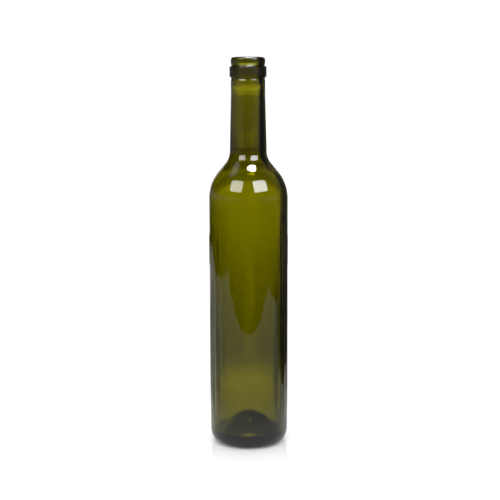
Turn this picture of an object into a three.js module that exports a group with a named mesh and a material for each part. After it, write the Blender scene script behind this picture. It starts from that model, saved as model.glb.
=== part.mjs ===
import * as THREE from 'three';

// Wine bottle of dark olive glass, empty and open at the mouth. It has a slim straight
// body, a round shoulder, a long neck that ends in a ring and a lip, and a punt pushed
// up into the base. Millimetres, +Z up, origin at the centre of the ring it stands on.

// Outside of the body, the shoulder and the neck. A corner is where two straight lines
// of the outline would meet, and its round is the radius that blends them.
const BODY_RADIUS = 31.85;
const SHOULDER_CORNER = 213.3;
const SHOULDER_ROUND = 33.8;
const ROOT_RADIUS = 15.8;
const ROOT_CORNER = 230.2;
const ROOT_ROUND = 14.4;
const THROAT_RADIUS = 14.87;
const THROAT_CORNER = 239.2;
const THROAT_ROUND = 95;
const NECK_RADIUS = 13.72;
const NECK_TAPER_TOP = 281.6;

// Waist under the ring, the ring, the groove above it and the lip
const BOTTLE_HEIGHT = 311.5;
const WAIST_RADIUS = 13.5;
const WAIST_BOTTOM = 292;
const WAIST_SLANT = 0.9;
const RING_RADIUS = 14.75;
const RING_BOTTOM = 295.8;
const RING_TOP = 304.4;
const RING_EDGE = 0.9;
const GROOVE_RADIUS = 13.3;
const GROOVE_TOP = 306.1;
const LIP_RADIUS = 13.74;
const LIP_EDGE = 2.1;

// Inside of the neck: the cork's bore, a slight swell below it and the throat
const BORE_RADIUS = 9.25;
const BORE_EDGE = 1.1;
const BORE_END_RADIUS = 9.55;
const BORE_END = 293;
const SWELL_RADIUS = 10.7;
const SWELL_HEIGHT = 286;
const SWELL_ROUND = 6;
const THROAT_INSIDE_RADIUS = 10;
const THROAT_INSIDE_TOP = 279;

// Inside of the shoulder and the body. The glass is thickest where the neck starts.
const BODY_WALL = 3.4;
const ROOT_INSIDE_CORNER = 229;
const ROOT_INSIDE_ROUND = 22;
const SHOULDER_INSIDE_CORNER = 211.3;
const SHOULDER_INSIDE_ROUND = 30;

// Heel, an elliptical edge, and the flat ring that the bottle stands on
const HEEL_WIDTH = 5.5;
const HEEL_HEIGHT = 12;
const BEARING_EDGE = 2;

// Punt, a rounded cone seen from below and from inside
const PUNT_HEIGHT = 19.5;
const PUNT_TIP_ROUND = 12;
const PUNT_SLOPE = THREE.MathUtils.degToRad(46);
const PUNT_GLASS = 4.7;
const PUNT_INSIDE_TIP_ROUND = 19;
const PUNT_INSIDE_SLOPE = THREE.MathUtils.degToRad(44);
const INSIDE_CORNER_ROUND = 3.2;

// Facets: sides round the axis, and how far a chord may stand off its arc
const SIDES = 60;
const SAG = 0.05;

const QUARTER_TURN = Math.PI / 2;

function point(radius, height) {
  return new THREE.Vector2(radius, height);
}

// Point on an ellipse at an angle that counts from straight outwards up
function onEllipse(centre, width, height, angle) {
  return point(centre.x + width * Math.cos(angle), centre.y + height * Math.sin(angle));
}

// Points on an arc, as many as its size needs
function arc(centre, radius, from, to, heightRadius = radius) {
  const largest = Math.max(radius, heightRadius);
  const step = 2 * Math.acos(1 - SAG / largest);
  const steps = Math.ceil(Math.abs(to - from) / step);
  return Array.from({ length: steps + 1 }, (_, i) =>
    onEllipse(centre, radius, heightRadius, from + ((to - from) * i) / steps));
}

// A corner of the outline, cut by an arc that touches both of its sides
function rounded(before, corner, after, round) {
  const back = before.clone().sub(corner).normalize();
  const ahead = after.clone().sub(corner).normalize();
  const half = Math.acos(back.dot(ahead)) / 2;
  const middle = back.clone().add(ahead).normalize();
  const centre = corner.clone().addScaledVector(middle, round / Math.sin(half));
  const reach = round / Math.tan(half);
  const start = corner.clone().addScaledVector(back, reach).sub(centre);
  const end = corner.clone().addScaledVector(ahead, reach).sub(centre);
  const from = Math.atan2(start.y, start.x);
  const turn = Math.atan2(start.cross(end), start.dot(end));
  return arc(centre, round, from, from + turn);
}

// A line through corners given as [radius, height, round], where the round may be left out
function line(corners) {
  const places = corners.map(([radius, height]) => point(radius, height));
  return corners.flatMap(([, , round], i) =>
    round ? rounded(places[i - 1], places[i], places[i + 1], round) : [places[i]]);
}

// Round tip of a punt on the axis, from the tip out to where its straight flank starts
function puntTip(height, round, slope) {
  return arc(point(0, height - round), round, QUARTER_TURN, QUARTER_TURN - slope);
}

// Radius at which the flank of a punt, going down from the end of its tip, meets the ground
function flankFoot(end, slope) {
  return end.x + end.y / Math.tan(slope);
}

// Height of that flank at a radius
function flankHeight(end, slope, radius) {
  return end.y - (radius - end.x) * Math.tan(slope);
}

// Underside of the punt and the flat ring it stands on, then the heel
function base() {
  const tip = puntTip(PUNT_HEIGHT, PUNT_TIP_ROUND, PUNT_SLOPE);
  const flank = tip[tip.length - 1];
  const heelCentre = point(BODY_RADIUS - HEEL_WIDTH, HEEL_HEIGHT);
  const ring = line([
    [flank.x, flank.y],
    [flankFoot(flank, PUNT_SLOPE), 0, BEARING_EDGE],
    [heelCentre.x, 0],
  ]);
  return [...tip, ...ring, ...arc(heelCentre, HEEL_WIDTH, -QUARTER_TURN, 0, HEEL_HEIGHT)];
}

function outside() {
  return line([
    [BODY_RADIUS, HEEL_HEIGHT],
    [BODY_RADIUS, SHOULDER_CORNER, SHOULDER_ROUND],
    [ROOT_RADIUS, ROOT_CORNER, ROOT_ROUND],
    [THROAT_RADIUS, THROAT_CORNER, THROAT_ROUND],
    [NECK_RADIUS, NECK_TAPER_TOP],
    [NECK_RADIUS, WAIST_BOTTOM],
    [WAIST_RADIUS, WAIST_BOTTOM + WAIST_SLANT],
    [WAIST_RADIUS, RING_BOTTOM],
    [RING_RADIUS, RING_BOTTOM, RING_EDGE],
    [RING_RADIUS, RING_TOP, RING_EDGE],
    [GROOVE_RADIUS, RING_TOP],
    [GROOVE_RADIUS, (RING_TOP + GROOVE_TOP) / 2],
    [LIP_RADIUS, GROOVE_TOP],
    [LIP_RADIUS, BOTTLE_HEIGHT, LIP_EDGE],
    [BORE_RADIUS, BOTTLE_HEIGHT, BORE_EDGE],
    [BORE_END_RADIUS, BORE_END],
  ]);
}

function inside() {
  const wallInside = BODY_RADIUS - BODY_WALL;
  const tip = puntTip(
    PUNT_HEIGHT + PUNT_GLASS, PUNT_INSIDE_TIP_ROUND, PUNT_INSIDE_SLOPE).reverse();
  const flank = tip[0];
  const corner = flankHeight(flank, PUNT_INSIDE_SLOPE, wallInside);
  const wall = line([
    [BORE_END_RADIUS, BORE_END],
    [SWELL_RADIUS, SWELL_HEIGHT, SWELL_ROUND],
    [THROAT_INSIDE_RADIUS, THROAT_INSIDE_TOP, SWELL_ROUND],
    [THROAT_INSIDE_RADIUS, ROOT_INSIDE_CORNER, ROOT_INSIDE_ROUND],
    [wallInside, SHOULDER_INSIDE_CORNER, SHOULDER_INSIDE_ROUND],
    [wallInside, corner, INSIDE_CORNER_ROUND],
    [flank.x, flank.y],
  ]);
  return [...wall, ...tip];
}

// Where lines and arcs meet they share a point, which is kept once. Points on the axis
// get a radius of exactly zero.
function cleaned(points) {
  const closest = 1e-3;
  const kept = points.filter((p, i) => i === 0 || p.distanceTo(points[i - 1]) > closest);
  kept[0].x = 0;
  kept[kept.length - 1].x = 0;
  return kept;
}

function bottle() {
  const outline = cleaned([...base(), ...outside(), ...inside()]);
  const geometry = new THREE.LatheGeometry(outline, SIDES);
  geometry.rotateX(QUARTER_TURN);
  const glass = new THREE.MeshStandardMaterial({
    color: 0x5f5f10,
    roughness: 0.05,
    metalness: 0,
    transparent: true,
    opacity: 0.8,
  });
  const mesh = new THREE.Mesh(geometry, glass);
  mesh.name = 'bottle';
  return mesh;
}

const wineBottle = new THREE.Group();
wineBottle.add(bottle());

export default wineBottle;
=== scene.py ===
import math

import bpy
from mathutils import Matrix, Vector, noise


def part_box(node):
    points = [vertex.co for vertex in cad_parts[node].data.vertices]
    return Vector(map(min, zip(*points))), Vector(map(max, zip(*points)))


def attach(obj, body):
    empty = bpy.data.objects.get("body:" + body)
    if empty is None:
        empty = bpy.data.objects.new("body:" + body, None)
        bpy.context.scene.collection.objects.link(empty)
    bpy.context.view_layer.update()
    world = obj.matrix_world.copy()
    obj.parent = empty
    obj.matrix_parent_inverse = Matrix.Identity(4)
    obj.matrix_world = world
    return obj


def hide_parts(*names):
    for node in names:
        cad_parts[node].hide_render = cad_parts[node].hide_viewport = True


bl_info = {
    "name": "Olive Glass Wine Bottle",
    "version": (1, 0, 0),
    "blender": (4, 5, 0),
    "location": "View3D > Sidebar > Bottle",
    "description": "Turns an empty wine bottle in olive glass and lights it on a pale table",
    "category": "Add Mesh",
}

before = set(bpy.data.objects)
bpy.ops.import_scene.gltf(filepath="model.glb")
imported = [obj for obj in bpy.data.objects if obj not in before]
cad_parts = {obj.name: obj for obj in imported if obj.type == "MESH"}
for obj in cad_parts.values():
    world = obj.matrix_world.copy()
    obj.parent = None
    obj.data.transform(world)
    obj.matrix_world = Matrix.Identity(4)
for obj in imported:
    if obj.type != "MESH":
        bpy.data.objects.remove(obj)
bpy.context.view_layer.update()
BOTTLE_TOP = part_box("bottle")[1]

MM = 0.001
QUARTER = math.pi / 2

# Sides round the glass, how far a chord may stand off its arc and the longest chord
SIDES = 216
SAG = 0.004 * MM
LONGEST_CHORD = 3.0 * MM

# The photograph's frame and the lens that fits it, in pixels of that frame
FRAME_PIXELS = 500
FOCAL_PIXELS = 1013.8
AXIS_LEFT_OF_MIDDLE = 1.47
SENSOR = 36.0


class BottleSizes(bpy.types.PropertyGroup):
    height: bpy.props.FloatProperty(
        name="Height", description="From the table to the lip",
        default=BOTTLE_TOP.z, unit="LENGTH")
    body_radius: bpy.props.FloatProperty(
        name="Body radius", description="Outside of the straight body",
        default=BOTTLE_TOP.x, unit="LENGTH")
    shoulder_corner: bpy.props.FloatProperty(
        name="Shoulder corner", description="Where the lines of body and flank would meet",
        default=212.5 * MM, unit="LENGTH")
    shoulder_round: bpy.props.FloatProperty(
        name="Shoulder round", description="Radius that blends the body into the shoulder",
        default=34.0 * MM, unit="LENGTH")
    root_radius: bpy.props.FloatProperty(
        name="Neck root radius", description="Radius of the corner where the neck starts",
        default=14.85 * MM, unit="LENGTH")
    root_corner: bpy.props.FloatProperty(
        name="Neck root corner", description="Height of the corner where the neck starts",
        default=232.7 * MM, unit="LENGTH")
    root_round: bpy.props.FloatProperty(
        name="Neck root round", description="Radius that blends the shoulder into the neck",
        default=14.4 * MM, unit="LENGTH")
    throat_radius: bpy.props.FloatProperty(
        name="Throat radius", description="Radius where the neck's own taper starts",
        default=14.80 * MM, unit="LENGTH")
    throat_corner: bpy.props.FloatProperty(
        name="Throat corner", description="Height where the neck's own taper starts",
        default=240.3 * MM, unit="LENGTH")
    neck_radius: bpy.props.FloatProperty(
        name="Neck radius", description="Straight part of the neck under the ring",
        default=13.72 * MM, unit="LENGTH")
    taper_height: bpy.props.FloatProperty(
        name="Taper height", description="Below this height the neck widens",
        default=281.6 * MM, unit="LENGTH")
    ring_radius: bpy.props.FloatProperty(
        name="Ring radius", description="The ring under the lip",
        default=14.75 * MM, unit="LENGTH")
    ring_bottom: bpy.props.FloatProperty(
        name="Ring bottom", description="Height of the ring's lower edge",
        default=295.8 * MM, unit="LENGTH")
    ring_top: bpy.props.FloatProperty(
        name="Ring top", description="Height of the ring's upper edge",
        default=304.4 * MM, unit="LENGTH")
    bore_radius: bpy.props.FloatProperty(
        name="Bore radius", description="Inside of the mouth",
        default=9.25 * MM, unit="LENGTH")
    wall: bpy.props.FloatProperty(
        name="Wall", description="Glass thickness of the body",
        default=3.4 * MM, unit="LENGTH")
    punt_height: bpy.props.FloatProperty(
        name="Punt height", description="Tip of the hollow under the base",
        default=19.5 * MM, unit="LENGTH")


class GlassLook(bpy.types.PropertyGroup):
    absorption_colour: bpy.props.FloatVectorProperty(
        name="Glass colour", description="What a thick layer of the glass lets through",
        default=(0.735, 0.7275, 0.0), subtype="COLOR", size=3)
    absorption: bpy.props.FloatProperty(
        name="Absorption", description="Strength of the glass colour for each metre",
        default=1500.0)
    ior: bpy.props.FloatProperty(
        name="IOR", description="Refractive index of soda lime glass",
        default=1.52)
    waviness: bpy.props.FloatProperty(
        name="Waviness", description="Unevenness of the wall's inside",
        default=0.22 * MM, unit="LENGTH")


class StudioLook(bpy.types.PropertyGroup):
    floor_colour: bpy.props.FloatVectorProperty(
        name="Floor", description="Colour of the table",
        default=(0.86, 0.86, 0.86), subtype="COLOR", size=3)
    white: bpy.props.FloatProperty(
        name="White", description="Brightness of the background",
        default=1.15)
    floor_light: bpy.props.FloatProperty(
        name="Floor light", description="Soft light that falls on the table",
        default=1.78)


class Signal:
    """A number that varies over a surface: a node's output with arithmetic."""

    def __init__(self, tree, socket):
        self.tree = tree
        self.socket = socket

    def combined(self, operation, first, second):
        settings = {"operation": operation}
        node = add_node(self.tree, "ShaderNodeMath", settings, {0: first, 1: second})
        return Signal(self.tree, node.outputs[0])

    def __add__(self, other):
        return self.combined("ADD", self, other)

    def __radd__(self, other):
        return self.combined("ADD", other, self)

    def __sub__(self, other):
        return self.combined("SUBTRACT", self, other)

    def __rsub__(self, other):
        return self.combined("SUBTRACT", other, self)

    def __mul__(self, other):
        return self.combined("MULTIPLY", self, other)

    def __rmul__(self, other):
        return self.combined("MULTIPLY", other, self)

    def ramp(self, low, high):
        """Zero below low, one above high and even in between."""
        ends = {"Value": self, "From Min": low, "From Max": high}
        return Signal(self.tree, add_node(self.tree, "ShaderNodeMapRange", None, ends).outputs[0])

    def through(self, points):
        """Straight lines through a list of places and values."""
        total = points[0][1]
        for (low, start), (high, end) in zip(points, points[1:]):
            total = total + (end - start) * self.ramp(low, high)
        return total


def add_node(tree, kind, settings=None, inputs=None):
    """Adds a node, sets its settings and then its sockets, by value or by link."""
    node = tree.nodes.new(kind)
    for name, value in (settings or {}).items():
        setattr(node, name, value)
    for key, value in (inputs or {}).items():
        socket = node.inputs[key]
        if isinstance(value, Signal):
            value = value.socket
        if isinstance(value, bpy.types.NodeSocket):
            tree.links.new(value, socket)
        else:
            socket.default_value = value
    return node


def new_material(name):
    material = bpy.data.materials.new(name)
    material.use_nodes = True
    material.node_tree.nodes.clear()
    return material, material.node_tree


def object_place(tree):
    """The place on the object, in metres from its origin."""
    return add_node(tree, "ShaderNodeTexCoord").outputs["Object"]


def world_place(tree):
    """The place in the scene, in metres from the middle of the bottle's foot."""
    return add_node(tree, "ShaderNodeNewGeometry").outputs["Position"]


def noise_signal(tree, scale, detail=2.0, stretch=(1.0, 1.0, 1.0)):
    """Smooth noise from 0 to 1. A small stretch draws it out along that axis."""
    mapping = add_node(
        tree, "ShaderNodeMapping", None,
        {"Vector": object_place(tree), "Scale": stretch})
    texture = add_node(
        tree, "ShaderNodeTexNoise", None,
        {"Vector": mapping.outputs["Vector"], "Scale": scale, "Detail": detail})
    return Signal(tree, texture.outputs["Fac"])


def distance_signal(tree, place, stretch):
    """Distance from the origin once the place is scaled along each axis."""
    scaled = add_node(
        tree, "ShaderNodeVectorMath", {"operation": "MULTIPLY"}, {0: place, 1: stretch})
    length = add_node(
        tree, "ShaderNodeVectorMath", {"operation": "LENGTH"},
        {0: scaled.outputs["Vector"]})
    return Signal(tree, length.outputs["Value"])


def axis_signal(tree, place, axis):
    """One coordinate of a place: X, Y or Z."""
    parts = add_node(tree, "ShaderNodeSeparateXYZ", None, {"Vector": place})
    return Signal(tree, parts.outputs[axis])


def ring_signal(tree, sizes):
    """One on the outside of the ring under the lip, where a mould leaves dull glass."""
    place = object_place(tree)
    height = axis_signal(tree, place, "Z")
    radius = distance_signal(tree, place, (1.0, 1.0, 0.0))
    above = height.ramp(sizes.ring_bottom + 0.6 * MM, sizes.ring_bottom + 1.1 * MM)
    below = 1.0 - height.ramp(sizes.ring_top - 1.0 * MM, sizes.ring_top - 0.5 * MM)
    return above * below * radius.ramp(sizes.ring_radius - 0.5 * MM, sizes.ring_radius - 0.2 * MM)


# Vertical lines in the glass: the heights between which they fade in and out, how far from
# the axis each flank starts, in metres, and how strong they are in the middle and there
DRAWN_BOTTOM = (0.02, 0.04)
DRAWN_TOP = (0.165, 0.19)
LEFT_FLANK = (-0.012, -0.019)
RIGHT_FLANK = (0.011, 0.019)
MIDDLE_LINES = 0.12
LEFT_LINES = 1.3
RIGHT_LINES = 0.5

# Heights of the broad and the fine lines and of the finest grain, against a ripple of 1
STREAK_HEIGHT = 2.8
THREAD_HEIGHT = 3.6
PEEL_HEIGHT = 0.04


def glass_relief(tree):
    """Faint ripples all over and vertical lines on the body, which are strongest at a flank."""
    place = object_place(tree)
    height = axis_signal(tree, place, "Z")
    across = axis_signal(tree, place, "X")
    ripple = noise_signal(tree, scale=38.0, detail=1.0, stretch=(1.0, 1.0, 0.35))
    streak = noise_signal(tree, scale=120.0, detail=1.0, stretch=(1.0, 1.0, 0.04))
    thread = noise_signal(tree, scale=330.0, detail=1.0, stretch=(1.0, 1.0, 0.02))
    peel = noise_signal(tree, scale=420.0, detail=2.0)
    body_only = height.ramp(*DRAWN_BOTTOM) * (1.0 - height.ramp(*DRAWN_TOP))
    left = LEFT_LINES * across.ramp(*LEFT_FLANK)
    right = RIGHT_LINES * across.ramp(*RIGHT_FLANK)
    drawn = STREAK_HEIGHT * (streak - 0.5) + THREAD_HEIGHT * (thread - 0.5)
    return ripple + drawn * (MIDDLE_LINES + left + right) * body_only + PEEL_HEIGHT * peel


# Roughness of clean glass, what a smear adds and what the mould adds on the ring
POLISHED = 0.012
SMEARED = 0.03
MOULD_DULLED = 0.2
RELIEF_STRENGTH = 0.25
RELIEF_DEPTH = 0.6 * MM


def olive_glass(look, sizes):
    """Clear green glass: colour by thickness, faint ripples and a trace of handling."""
    material, tree = new_material("olive_glass")
    smear = noise_signal(tree, scale=55.0, detail=4.0, stretch=(1.0, 1.0, 0.5))
    bump = add_node(
        tree, "ShaderNodeBump", None,
        {
            "Height": glass_relief(tree),
            "Strength": RELIEF_STRENGTH,
            "Distance": RELIEF_DEPTH,
        })
    body = add_node(
        tree, "ShaderNodeBsdfPrincipled", None,
        {
            "Base Color": (1.0, 1.0, 1.0, 1.0),
            "Roughness": POLISHED + SMEARED * smear + MOULD_DULLED * ring_signal(tree, sizes),
            "IOR": look.ior,
            "Transmission Weight": 1.0,
            "Normal": bump.outputs["Normal"],
        })
    tint = add_node(
        tree, "ShaderNodeVolumeAbsorption", None,
        {"Color": (*look.absorption_colour, 1.0), "Density": look.absorption})
    add_node(
        tree, "ShaderNodeOutputMaterial", None,
        {"Surface": body.outputs["BSDF"], "Volume": tint.outputs["Volume"]})
    return material


def arc(centre, radius, start, end, height_radius=None):
    """Points (radius, height) on an arc of the outline. Angles count from outwards up."""
    rise = height_radius or radius
    step = 2 * math.acos(1 - SAG / max(radius, rise))
    steps = math.ceil(abs(end - start) / step)
    points = []
    for i in range(steps + 1):
        angle = start + (end - start) * i / steps
        points.append(Vector((
            centre[0] + radius * math.cos(angle),
            centre[1] + rise * math.sin(angle))))
    return points


def rounded(before, corner, after, radius):
    """A corner of the outline, cut by an arc that touches both of its sides."""
    back = (before - corner).normalized()
    ahead = (after - corner).normalized()
    half = back.angle(ahead) / 2
    centre = corner + (back + ahead).normalized() * (radius / math.sin(half))
    reach = radius / math.tan(half)
    start = corner + back * reach - centre
    end = corner + ahead * reach - centre
    first = math.atan2(start.y, start.x)
    turn = math.atan2(start.cross(end), start.dot(end))
    return arc(centre, radius, first, first + turn)


def line(corners):
    """A line through corners given as radius, height and the round, if it has one."""
    places = [Vector(corner[:2]) for corner in corners]
    points = []
    for i, corner in enumerate(corners):
        if len(corner) > 2:
            points += rounded(places[i - 1], places[i], places[i + 1], corner[2])
        else:
            points.append(places[i])
    return points


def filled(points):
    """The same line of points without repeats and with more of them on long straights."""
    closest = 0.01 * MM
    dense = [points[0]]
    for place in points[1:]:
        last = dense[-1]
        gap = (place - last).length
        if gap > closest:
            parts = math.ceil(gap / LONGEST_CHORD)
            dense += [last.lerp(place, i / parts) for i in range(1, parts + 1)]
    return dense


def punt_tip(height, radius, slope):
    """Round tip of a punt on the axis, out to where its straight flank starts."""
    return arc((0.0, height - radius), radius, QUARTER, QUARTER - slope)


BEARING_EDGE = 2.0 * MM
PUNT_TIP = 12.0 * MM
PUNT_SLOPE = math.radians(46)
HEEL_WIDTH = 5.5 * MM
HEEL_HEIGHT = 12.0 * MM


def base(sizes):
    """Punt seen from below, the ring that the bottle stands on and the heel."""
    tip = punt_tip(sizes.punt_height, PUNT_TIP, PUNT_SLOPE)
    flank = tip[-1]
    foot = flank.x + flank.y / math.tan(PUNT_SLOPE)
    heel_radius = sizes.body_radius - HEEL_WIDTH
    ring = line([(flank.x, flank.y), (foot, 0.0, BEARING_EDGE), (heel_radius, 0.0)])
    heel = arc((heel_radius, HEEL_HEIGHT), HEEL_WIDTH, -QUARTER, 0.0, HEEL_HEIGHT)
    return tip + ring + heel


THROAT_ROUND = 95.0 * MM
WAIST_RADIUS = 13.5 * MM
WAIST_BOTTOM = 293.3 * MM
WAIST_ROUND = 0.6 * MM
WAIST_SLANT = 0.7 * MM
RING_EDGE = 0.7 * MM
RING_CORNER = 0.45 * MM
GROOVE_RADIUS = 13.3 * MM
GROOVE_TOP = 306.1 * MM
GROOVE_SLANT = 0.7 * MM
LIP_RADIUS = 13.74 * MM
LIP_EDGE = 2.1 * MM
BORE_EDGE = 1.1 * MM
BORE_END_RADIUS = 9.55 * MM
BORE_END = 293.0 * MM


def outside(sizes):
    """Body, shoulder, neck, ring and lip, from the heel up and over into the bore."""
    ring = sizes.ring_radius
    return line([
        (sizes.body_radius, HEEL_HEIGHT),
        (sizes.body_radius, sizes.shoulder_corner, sizes.shoulder_round),
        (sizes.root_radius, sizes.root_corner, sizes.root_round),
        (sizes.throat_radius, sizes.throat_corner, THROAT_ROUND),
        (sizes.neck_radius, sizes.taper_height),
        (sizes.neck_radius, WAIST_BOTTOM, WAIST_ROUND),
        (WAIST_RADIUS, WAIST_BOTTOM + WAIST_SLANT, WAIST_ROUND),
        (WAIST_RADIUS, sizes.ring_bottom, RING_CORNER),
        (ring, sizes.ring_bottom, RING_EDGE),
        (ring, sizes.ring_top, RING_EDGE),
        (GROOVE_RADIUS, sizes.ring_top, RING_CORNER),
        (GROOVE_RADIUS, GROOVE_TOP - GROOVE_SLANT, RING_CORNER),
        (LIP_RADIUS, GROOVE_TOP, RING_CORNER),
        (LIP_RADIUS, sizes.height, LIP_EDGE),
        (sizes.bore_radius, sizes.height, BORE_EDGE),
        (BORE_END_RADIUS, BORE_END),
    ])


SWELL_RADIUS = 10.7 * MM
SWELL_HEIGHT = 288.0 * MM
SWELL_ROUND = 4.0 * MM
THROAT_INSIDE_RADIUS = 10.0 * MM
THROAT_INSIDE_TOP = 282.0 * MM
ROOT_INSIDE_CORNER = 230.6 * MM
ROOT_INSIDE_ROUND = 22.0 * MM
SHOULDER_INSIDE_CORNER = 213.6 * MM
SHOULDER_INSIDE_ROUND = 30.6 * MM
PUNT_GLASS = 4.7 * MM
PUNT_INSIDE_TIP = 19.0 * MM
PUNT_INSIDE_SLOPE = math.radians(44)
INSIDE_CORNER = 3.2 * MM


def inside(sizes):
    """Swell under the bore, throat, shoulder, wall and the punt's upper face."""
    wall = sizes.body_radius - sizes.wall
    tip = punt_tip(sizes.punt_height + PUNT_GLASS, PUNT_INSIDE_TIP, PUNT_INSIDE_SLOPE)
    tip.reverse()
    flank = tip[0]
    foot = flank.y - (wall - flank.x) * math.tan(PUNT_INSIDE_SLOPE)
    return line([
        (BORE_END_RADIUS, BORE_END),
        (SWELL_RADIUS, SWELL_HEIGHT, SWELL_ROUND),
        (THROAT_INSIDE_RADIUS, THROAT_INSIDE_TOP, SWELL_ROUND),
        (THROAT_INSIDE_RADIUS, ROOT_INSIDE_CORNER, ROOT_INSIDE_ROUND),
        (wall, SHOULDER_INSIDE_CORNER, SHOULDER_INSIDE_ROUND),
        (wall, foot, INSIDE_CORNER),
        (flank.x, flank.y),
    ]) + tip


UNEVEN_BOTTOM = 20.0 * MM
UNEVEN_FADE = 30.0 * MM

# How quickly the wall sways round the axis and for each metre of height, broadly and finely
BROAD_SWAY = (1.6, 9.0)
FINE_SWAY = (5.0, 25.0)
FINE_SHARE = 0.3


def sway(angle, height, pace):
    """Smooth noise round and up the wall."""
    around, upward = pace
    return noise.noise(Vector((
        math.cos(angle) * around, math.sin(angle) * around, height * upward)))


def glass_unevenness(angle, height, waviness):
    """How far the inside of the wall stands off its turned form at one place."""
    fade_low = min(1.0, max(0.0, (height - UNEVEN_BOTTOM) / UNEVEN_FADE))
    fade_high = min(1.0, max(0.0, (THROAT_INSIDE_TOP - height) / UNEVEN_FADE))
    uneven = sway(angle, height, BROAD_SWAY) + FINE_SHARE * sway(angle, height, FINE_SWAY)
    return waviness * uneven * fade_low * fade_high


def glass_mesh(sizes, waviness):
    """Turns the outline about the axis as one closed surface."""
    outer = filled(base(sizes) + outside(sizes))
    inner = filled(inside(sizes))
    points = outer + inner[1:]
    first_inner = len(outer)
    vertices = []
    rings = []
    for row, p in enumerate(points):
        on_axis = row in (0, len(points) - 1)
        ring = []
        for side in range(1 if on_axis else SIDES):
            angle = 2 * math.pi * side / SIDES
            radius = 0.0 if on_axis else p.x
            if row >= first_inner and not on_axis and p.x > sizes.bore_radius:
                radius += glass_unevenness(angle, p.y, waviness)
            ring.append(len(vertices))
            vertices.append((radius * math.cos(angle), radius * math.sin(angle), p.y))
        rings.append(ring)
    faces = []
    for low, high in zip(rings, rings[1:]):
        for side in range(SIDES):
            after = (side + 1) % SIDES
            if len(low) == 1:
                faces.append((low[0], high[after], high[side]))
            elif len(high) == 1:
                faces.append((low[side], low[after], high[0]))
            else:
                faces.append((low[side], low[after], high[after], high[side]))
    mesh = bpy.data.meshes.new("glass_bottle")
    mesh.from_pydata(vertices, [], faces)
    mesh.validate()
    for polygon in mesh.polygons:
        polygon.use_smooth = True
    return mesh


def add_object(name, data):
    piece = bpy.data.objects.new(name, data)
    bpy.context.scene.collection.objects.link(piece)
    return piece


class BOTTLE_OT_turn_glass(bpy.types.Operator):
    """Turns the glass bottle and gives it its finish"""

    bl_idname = "bottle.turn_glass"
    bl_label = "Turn Glass"

    def execute(self, context):
        sizes = context.scene.bottle_sizes
        look = context.scene.glass_look
        glass = add_object("glass_bottle", glass_mesh(sizes, look.waviness))
        glass.data.materials.append(olive_glass(look, sizes))
        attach(glass, "root")
        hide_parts("bottle")
        return {"FINISHED"}


BLACK = (0.0, 0.0, 0.0)
WHITE = (1.0, 1.0, 1.0)

# Numbers of the Mix node's sockets for colours
MIX_FIRST = 6
MIX_SECOND = 7
MIX_RESULT = 2


def light_colour(tree, colour, strength):
    """A colour times a strength that varies and may be above one."""
    scaled = add_node(
        tree, "ShaderNodeMix", {"data_type": "RGBA", "clamp_factor": False},
        {"Factor": strength, MIX_FIRST: (*BLACK, 1.0), MIX_SECOND: (*colour, 1.0)})
    return scaled.outputs[MIX_RESULT]


def glow_material(name, colour, strength):
    """Plain light of one colour. Its strength is a number, or a function that varies it."""
    material, tree = new_material(name)
    if callable(strength):
        varied = strength(tree, world_place(tree))
        light = {"Color": light_colour(tree, colour, varied)}
    else:
        light = {"Color": (*colour, 1.0), "Strength": strength}
    glow = add_node(tree, "ShaderNodeEmission", None, light)
    add_node(tree, "ShaderNodeOutputMaterial", None, {"Surface": glow.outputs["Emission"]})
    return material


# Roughness of the table and what its grain adds
TABLE_POLISHED = 0.07
TABLE_GRAIN = 0.03

# Painted light of the table, which only the glass shows: its brightness by the distance from the
# bottle in metres, mirrored in the outside, and through the glass. Through the glass a painted
# glint lies on the axis under the punt and painted shadow under the foot. The glow is a painted
# pool of light close behind.
TABLE_MIRRORED = ((0.04, 0.88), (0.075, 0.9), (0.115, 0.75), (0.17, 0.5))
TABLE_BEHIND = (
    (0.004, 4.0), (0.007, 0.0), (0.033, 0.0), (0.042, 1.3), (0.26, 1.25), (0.34, 1.33),
    (0.45, 1.56), (0.73, 2.1), (0.95, 2.2), (1.5, 2.5), (2.5, 2.75))
TABLE_GLOW = ((0.05, 0.4), (0.18, 1.05), (0.25, 0.0))
GLOW_STRETCH = (1.8, 1.0, 0.0)

# Painted shade: a wedge behind the bottle where the mirrored table is dimmer: its slope, soft
# edge in square metres, start and end behind the bottle, and the share of light that it takes
WEDGE_SLOPE = 1.2
WEDGE_EDGE = 0.01
WEDGE_START = (0.0, 0.1)
WEDGE_END = (0.5, 0.7)
WEDGE_LOSS = 0.8

# Far to the sides more light comes through, by the square of the distance from the axis; on the
# table this is painted light
SIDE_GAIN = 0.4
TABLE_SIDE = 0.1
WORLD_SIDE = 0.035

# A painted bright streak on the axis: half its width squared, start and end, and what is lost
# beside
STREAK_EDGE = 0.0003
STREAK_START = (0.24, 0.3)
STREAK_END = (0.7, 1.3)
STREAK_LOSS = 0.27

# Painted shade on the right, along a line that leans outwards: its soft edge, end and loss
SHADE_LEAN = 0.15
SHADE_EDGE = (0.022, 0.032)
SHADE_END = (0.5, 0.7)
SHADE_LOSS = 0.6


def painted_table_mirrored(tree, place):
    """Painted light of the table in the gloss of the glass, with painted shade in a wedge
    straight behind the bottle.
    """
    right = axis_signal(tree, place, "X")
    back = axis_signal(tree, place, "Y")
    away = distance_signal(tree, place, (1.0, 1.0, 0.0))
    # Painted shade in a wedge straight behind the bottle
    wedge = (back * back - WEDGE_SLOPE * (right * right)).ramp(0.0, WEDGE_EDGE)
    near = back.ramp(*WEDGE_START) * (1.0 - away.ramp(*WEDGE_END))
    return away.through(TABLE_MIRRORED) * (1.0 - WEDGE_LOSS * wedge * near)


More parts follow.
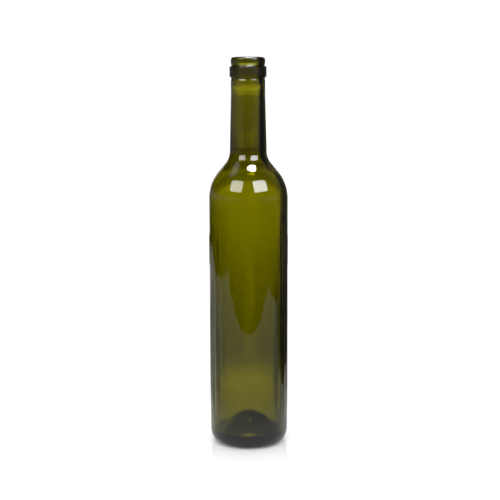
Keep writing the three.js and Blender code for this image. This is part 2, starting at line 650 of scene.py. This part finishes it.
def painted_table_behind(tree, place):
    """Painted light of the table through the glass: a glint and shadow under the bottle, a bright
    streak on the axis, a glow and shade on the right.
    """
    right = axis_signal(tree, place, "X")
    back = axis_signal(tree, place, "Y")
    away = distance_signal(tree, place, (1.0, 1.0, 0.0))
    side = right * right
    sides = 1.0 + SIDE_GAIN * side.ramp(0.0, TABLE_SIDE)
    middle = away.ramp(*STREAK_START) * (1.0 - away.ramp(*STREAK_END))
    # Painted bright streak on the axis, with painted shade beside it
    streak = 1.0 - STREAK_LOSS * side.ramp(0.0, STREAK_EDGE) * middle
    # Painted pool of light close behind the bottle
    glow = distance_signal(tree, place, GLOW_STRETCH).through(TABLE_GLOW)
    # Painted shade on the right
    shaded = (right - SHADE_LEAN * back).ramp(*SHADE_EDGE) * (1.0 - back.ramp(*SHADE_END))
    return (away.through(TABLE_BEHIND) * sides * streak + glow) * (1.0 - SHADE_LOSS * shaded)


def table_material(look, name, ior):
    """Pale table or floor. What glass shows of it is painted light, an emission that follows the
    distance from the bottle.
    """
    material, tree = new_material(name)
    path = add_node(tree, "ShaderNodeLightPath")
    glossy = Signal(tree, path.outputs["Is Glossy Ray"])
    through = Signal(tree, path.outputs["Is Transmission Ray"])
    place = world_place(tree)
    # Painted reflection: in the gloss of the glass the table is black and shows only painted
    # light
    colour = add_node(
        tree, "ShaderNodeMix", {"data_type": "RGBA"},
        {"Factor": glossy, MIX_FIRST: (*look.floor_colour, 1.0), MIX_SECOND: (*BLACK, 1.0)})
    grain = noise_signal(tree, scale=9.0, detail=3.0)
    surface = add_node(
        tree, "ShaderNodeBsdfPrincipled", None,
        {
            "Base Color": colour.outputs[MIX_RESULT],
            "Roughness": TABLE_POLISHED + TABLE_GRAIN * grain,
            "IOR": ior,
            "Emission Color": light_colour(tree, WHITE, glossy * painted_table_mirrored(tree, place)),
            "Emission Strength": 1.0,
        })
    # Painted light of the table, all that shows of it through the glass
    glow = add_node(
        tree, "ShaderNodeEmission", None,
        {"Color": light_colour(tree, WHITE, painted_table_behind(tree, place))})
    seen = add_node(
        tree, "ShaderNodeMixShader", None,
        {0: through, 1: surface.outputs["BSDF"], 2: glow.outputs["Emission"]})
    add_node(tree, "ShaderNodeOutputMaterial", None, {"Surface": seen.outputs["Shader"]})
    return material


def card(name, corners, material, rays):
    """A flat panel that only glass shows: mirrored, or through it as well."""
    mesh = bpy.data.meshes.new(name)
    mesh.from_pydata(corners, [], [tuple(range(len(corners)))])
    panel = add_object(name, mesh)
    panel.data.materials.append(material)
    panel.visible_camera = False
    panel.visible_diffuse = False
    panel.visible_glossy = "glossy" in rays
    panel.visible_transmission = "transmission" in rays
    panel.visible_shadow = False


def floor_sheet(name, low, high, height, material):
    """A level sheet between two corners."""
    mesh = bpy.data.meshes.new(name)
    corners = [(low[0], low[1], height), (high[0], low[1], height),
               (high[0], high[1], height), (low[0], high[1], height)]
    mesh.from_pydata(corners, [], [(0, 1, 2, 3)])
    sheet = add_object(name, mesh)
    sheet.data.materials.append(material)
    return sheet


# By the sine of the elevation: brightness of the room through the glass, and the lower and
# upper edge of the band of light that the gloss shows round the horizon
WORLD_BEHIND = (
    (-0.06, 2.2), (-0.045, 1.85), (-0.015, 1.53), (0.0, 1.5), (0.01, 1.7), (0.016, 1.35),
    (0.03, 1.35), (0.04, 1.8), (0.12, 2.75), (0.35, 2.75), (0.6, 0.8), (0.95, 0.35))
BAND_BOTTOM = (-0.12, 0.0)
BAND_TOP = (0.03, 0.16)
BAND_LIGHT = 0.08
BAND_SIDE_LIGHT = 0.2
BAND_SIDES = (0.1, 0.7)


def white_world(look):
    """Even white all round, and a dark room where the gloss looks."""
    world = bpy.data.worlds.new("studio")
    bpy.context.scene.world = world
    world.use_nodes = True
    tree = world.node_tree
    tree.nodes.clear()
    path = add_node(tree, "ShaderNodeLightPath")
    camera = Signal(tree, path.outputs["Is Camera Ray"])
    through = Signal(tree, path.outputs["Is Transmission Ray"])
    diffuse = Signal(tree, path.outputs["Is Diffuse Ray"])
    glossy = Signal(tree, path.outputs["Is Glossy Ray"])
    direction = add_node(tree, "ShaderNodeTexCoord").outputs["Generated"]
    height = axis_signal(tree, direction, "Z")
    right = axis_signal(tree, direction, "X")
    side = right * right
    behind = height.through(WORLD_BEHIND) * (1.0 + SIDE_GAIN * side.ramp(0.0, WORLD_SIDE))
    band = height.ramp(*BAND_BOTTOM) * (1.0 - height.ramp(*BAND_TOP))
    room = band * (BAND_LIGHT + BAND_SIDE_LIGHT * side.ramp(*BAND_SIDES))
    strength = (
        look.white * camera + behind * through
        + look.floor_light * diffuse + room * glossy)
    background = add_node(
        tree, "ShaderNodeBackground", None, {"Color": light_colour(tree, WHITE, strength)})
    add_node(tree, "ShaderNodeOutputWorld", None, {"Surface": background.outputs[0]})


def aimed(bearing, elevation, distance, height):
    """Point seen from the axis at a height, by its bearing from the camera and elevation."""
    turn = math.radians(bearing)
    rise = math.radians(elevation)
    flat = distance * math.cos(rise)
    return (flat * math.sin(turn), -flat * math.cos(turn), height + distance * math.sin(rise))


# Table and floor, their corners in metres
TABLE_LOW = (-0.80, -0.43)
TABLE_HIGH = (0.62, 0.85)
TABLE_IOR = 2.0
FLOOR_REACH = 4.0
FLOOR_DROP = 0.5 * MM
MATTE_IOR = 1.0

# Two dark panels that meet in an upright edge on the right of the bottle, each with the
# foot and the top of its far edge, and a white one behind. Their light grows with height.
PANEL_HEIGHT = 0.9
PANEL_EDGE = (0.172, 0.066)
DARK_PANELS = (
    ("dark_front", (0.42, -0.02), (0.42, -0.02)),
    ("dark_back", (0.215, 0.60), (0.45, 0.60)),
)
PANEL_LIGHT = ((0.03, 0.04), (0.12, 0.07), (0.3, 0.1))
BACKDROP_LEFT = -0.72
BACKDROP_RIGHT = 0.52
BACKDROP_BACK = 1.2

# Soft boxes by name, colour, strength and the bearing and elevation of each corner as the
# shoulder of the bottle sees it
SHOULDER_AIM = 212.0 * MM
SOFT_BOX_DISTANCE = 1.4
SOFT_BOXES = (
    ("soft_left", (1.0, 0.97, 0.96), 9.0,
     ((-66.9, 43.2), (-18.2, 48.4), (-19.5, 18.1), (-57.2, 18.0))),
    ("soft_right", (0.95, 0.96, 1.0), 13.0,
     ((14.8, 48.2), (68.7, 42.9), (58.7, 17.0), (18.6, 18.0))),
    ("soft_top", (1.0, 1.0, 0.98), 110.0,
     ((-8.0, 75.2), (30.0, 73.5), (60.0, 68.8), (72.0, 69.0), (100.0, 78.0), (-40.0, 83.0))),
)

# A round glow without an edge, by its bearing and elevation and by the distance from its middle
SOFT_GLOW_AIM = (-92.0, 58.0)
SOFT_GLOW_RADIUS = 0.36
SOFT_GLOW_LIGHT = ((0.0, 1.5), (0.3 * SOFT_GLOW_RADIUS, 1.1), (SOFT_GLOW_RADIUS, 0.0))


def panel_light(tree, place):
    """Darkest low down."""
    return axis_signal(tree, place, "Z").through(PANEL_LIGHT)


def first_hand(strength):
    """Full strength in the first mirror on the way, nothing in a mirror seen in a mirror."""
    def dimmed(tree, place):
        path = add_node(tree, "ShaderNodeLightPath")
        mirrors = Signal(tree, path.outputs["Glossy Depth"])
        return strength * (1.0 - mirrors.ramp(1.0, 2.0))
    return dimmed


def fading_from(middle):
    """Brightest in the middle, nothing at the rim."""
    def faded(tree, place):
        offset = add_node(
            tree, "ShaderNodeVectorMath", {"operation": "SUBTRACT"}, {0: place, 1: middle})
        away = distance_signal(tree, offset.outputs["Vector"], (1.0, 1.0, 1.0))
        return away.through(SOFT_GLOW_LIGHT)
    return faded


def lay_table(look):
    """The glossy table, and the wide matt floor just below it."""
    table = table_material(look, "pale_table", TABLE_IOR)
    floor_sheet("table", TABLE_LOW, TABLE_HIGH, 0.0, table)
    matte = table_material(look, "pale_floor", MATTE_IOR)
    low = (-FLOOR_REACH, -FLOOR_REACH)
    high = (FLOOR_REACH, FLOOR_REACH)
    wide = floor_sheet("floor", low, high, -FLOOR_DROP, matte)
    wide.visible_glossy = False


def stand_panels():
    """The dark panels beside the bottle and the white one behind it."""
    dark = glow_material("dark_card", WHITE, panel_light)
    edge = PANEL_EDGE
    for name, foot, top in DARK_PANELS:
        corners = [(*edge, 0.0), (*foot, 0.0), (*top, PANEL_HEIGHT), (*edge, PANEL_HEIGHT)]
        card(name, corners, dark, {"glossy", "transmission"})
    left = (BACKDROP_LEFT, BACKDROP_BACK)
    right = (BACKDROP_RIGHT, BACKDROP_BACK)
    corners = [(*left, 0.0), (*right, 0.0), (*right, PANEL_HEIGHT), (*left, PANEL_HEIGHT)]
    card("backdrop", corners, glow_material("backdrop", WHITE, 1.0), {"glossy"})


def hang_lamps():
    """The soft boxes and the round glow, all turned to the shoulder."""
    for name, colour, strength, places in SOFT_BOXES:
        corners = [aimed(*place, SOFT_BOX_DISTANCE, SHOULDER_AIM) for place in places]
        light = glow_material(name, colour, first_hand(strength))
        card(name, corners, light, {"glossy", "transmission"})
    middle = Vector(aimed(*SOFT_GLOW_AIM, SOFT_BOX_DISTANCE, SHOULDER_AIM))
    turn = (Vector((0.0, 0.0, SHOULDER_AIM)) - middle).to_track_quat("Z", "Y")
    reach = SOFT_GLOW_RADIUS
    corners = [middle + turn @ Vector((x * reach, y * reach, 0.0))
               for x, y in ((-1, -1), (1, -1), (1, 1), (-1, 1))]
    light = glow_material("soft_back", WHITE, fading_from(middle))
    card("soft_back", corners, light, {"glossy"})


class BOTTLE_OT_lay_stage(bpy.types.Operator):
    """Lays the pale table and puts up the panels and lamps of the studio"""

    bl_idname = "bottle.lay_stage"
    bl_label = "Lay Stage"

    def execute(self, context):
        look = context.scene.studio_look
        lay_table(look)
        stand_panels()
        hang_lamps()
        white_world(look)
        return {"FINISHED"}


CAMERA_DISTANCE = 0.8114
CAMERA_HEIGHT = 0.2816
CAMERA_PITCH = math.radians(8.667)
CAMERA_ROLL = math.radians(-0.184)
LIGHT_BOUNCES = 24
GLOSSY_BOUNCES = 12


class BOTTLE_OT_place_camera(bpy.types.Operator):
    """Places the camera where the photograph was taken from"""

    bl_idname = "bottle.place_camera"
    bl_label = "Place Camera"

    def execute(self, context):
        lens = bpy.data.cameras.new("camera")
        lens.sensor_width = SENSOR
        lens.lens = FOCAL_PIXELS / FRAME_PIXELS * SENSOR
        lens.shift_x = AXIS_LEFT_OF_MIDDLE / FRAME_PIXELS
        camera = add_object("camera", lens)
        tilt = Matrix.Rotation(QUARTER - CAMERA_PITCH, 4, "X")
        roll = Matrix.Rotation(CAMERA_ROLL, 4, "Z")
        place = Matrix.Translation((0.0, -CAMERA_DISTANCE, CAMERA_HEIGHT))
        camera.matrix_world = place @ tilt @ roll
        scene = context.scene
        scene.camera = camera
        scene.view_settings.view_transform = "Standard"
        scene.cycles.max_bounces = LIGHT_BOUNCES
        scene.cycles.transmission_bounces = LIGHT_BOUNCES
        scene.cycles.glossy_bounces = GLOSSY_BOUNCES
        return {"FINISHED"}


class BOTTLE_PT_panel(bpy.types.Panel):
    """Lists the steps and the values that a user would change"""

    bl_idname = "BOTTLE_PT_panel"
    bl_label = "Wine Bottle"
    bl_space_type = "VIEW_3D"
    bl_region_type = "UI"
    bl_category = "Bottle"

    def draw(self, context):
        scene = context.scene
        for operator in STEPS:
            self.layout.operator(operator.bl_idname)
        for group in (scene.bottle_sizes, scene.glass_look, scene.studio_look):
            column = self.layout.column()
            for name in group.__annotations__:
                column.prop(group, name)


STEPS = (BOTTLE_OT_turn_glass, BOTTLE_OT_lay_stage, BOTTLE_OT_place_camera)
GROUPS = {
    "bottle_sizes": BottleSizes,
    "glass_look": GlassLook,
    "studio_look": StudioLook,
}


def register():
    for name, group in GROUPS.items():
        bpy.utils.register_class(group)
        setattr(bpy.types.Scene, name, bpy.props.PointerProperty(type=group))
    for step in STEPS:
        bpy.utils.register_class(step)
    bpy.utils.register_class(BOTTLE_PT_panel)


def unregister():
    bpy.utils.unregister_class(BOTTLE_PT_panel)
    for step in reversed(STEPS):
        bpy.utils.unregister_class(step)
    for name, group in GROUPS.items():
        delattr(bpy.types.Scene, name)
        bpy.utils.unregister_class(group)


def main():
    register()
    bpy.ops.bottle.turn_glass()
    bpy.ops.bottle.lay_stage()
    bpy.ops.bottle.place_camera()


if __name__ == "__main__":
    main()
